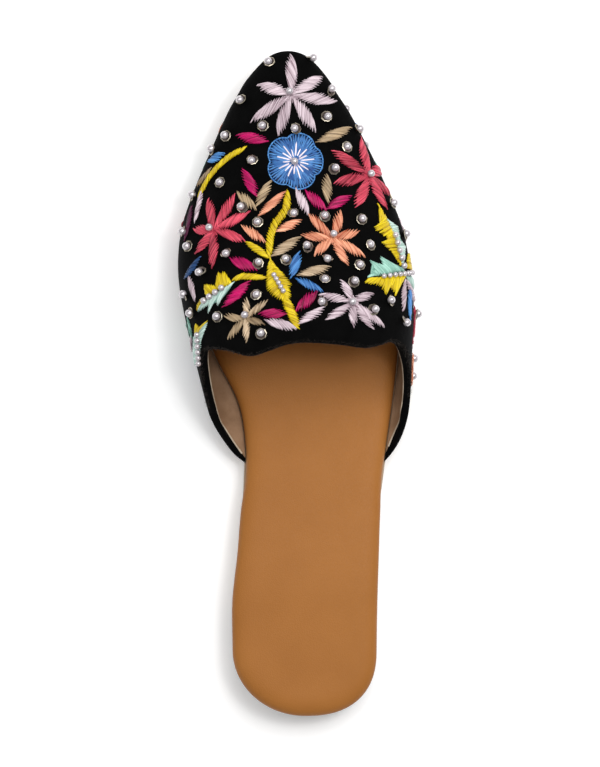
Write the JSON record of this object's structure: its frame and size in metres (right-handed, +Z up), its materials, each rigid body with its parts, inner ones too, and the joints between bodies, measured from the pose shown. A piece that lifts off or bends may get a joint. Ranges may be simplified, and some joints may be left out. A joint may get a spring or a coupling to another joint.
{
  "type": "mojari mule",
  "caption": "Right-foot flat backless mojari: pointed closed toe, scalloped throat, velvet upper sewn with flowers and pearls, padded leather footbed, thin sole and low heel.",
  "frame": {"origin": "on the floor, under the middle of the shoe's box", "axes": "+Y from heel to toe, +Z up, +X to the outer side of a right foot"},
  "size_m": [0.096, 0.262, 0.0586],
  "materials": {
    "velvet": "black short-pile velvet",
    "footbed_leather": "soft tan leather, fine grain",
    "sole_rubber": "matt beige rubber",
    "heel_rubber": "matt brown rubber",
    "pearl": "grey-white imitation pearl"
  },
  "bodies": {
    "root": {"heel": "heel_rubber", "outsole": "sole_rubber", "upper": "velvet", "insole": "footbed_leather", "pearl_01": "pearl", "pearl_02": "pearl", "pearl_03": "pearl", "pearl_04": "pearl", "pearl_05": "pearl", "pearl_06": "pearl", "pearl_07": "pearl", "pearl_08": "pearl", "pearl_09": "pearl", "pearl_10": "pearl", "pearl_11": "pearl", "pearl_12": "pearl", "pearl_13": "pearl", "pearl_14": "pearl", "pearl_15": "pearl", "pearl_16": "pearl", "pearl_17": "pearl", "pearl_18": "pearl", "pearl_19": "pearl", "pearl_20": "pearl", "pearl_21": "pearl", "pearl_22": "pearl", "pearl_23": "pearl", "pearl_24": "pearl", "pearl_25": "pearl", "pearl_26": "pearl", "pearl_27": "pearl", "pearl_28": "pearl", "pearl_29": "pearl", "pearl_30": "pearl", "pearl_31": "pearl", "pearl_32": "pearl", "pearl_33": "pearl", "pearl_34": "pearl", "pearl_35": "pearl", "pearl_36": "pearl", "pearl_37": "pearl", "pearl_38": "pearl", "pearl_39": "pearl", "pearl_40": "pearl", "pearl_41": "pearl", "pearl_42": "pearl", "pearl_43": "pearl", "flower_pearl_1": "pearl", "flower_pearl_2": "pearl", "flower_pearl_3": "pearl", "flower_pearl_4": "pearl", "flower_pearl_5": "pearl", "flower_pearl_6": "pearl", "flower_pearl_7": "pearl", "pearl_rib_inner_leaf": "pearl", "pearl_rib_inner_edge_leaf": "pearl", "pearl_rib_middle_leaf": "pearl", "pearl_rib_outer_leaf": "pearl", "pearl_rib_outer_edge_leaf": "pearl"}
  },
  "joints": []
}
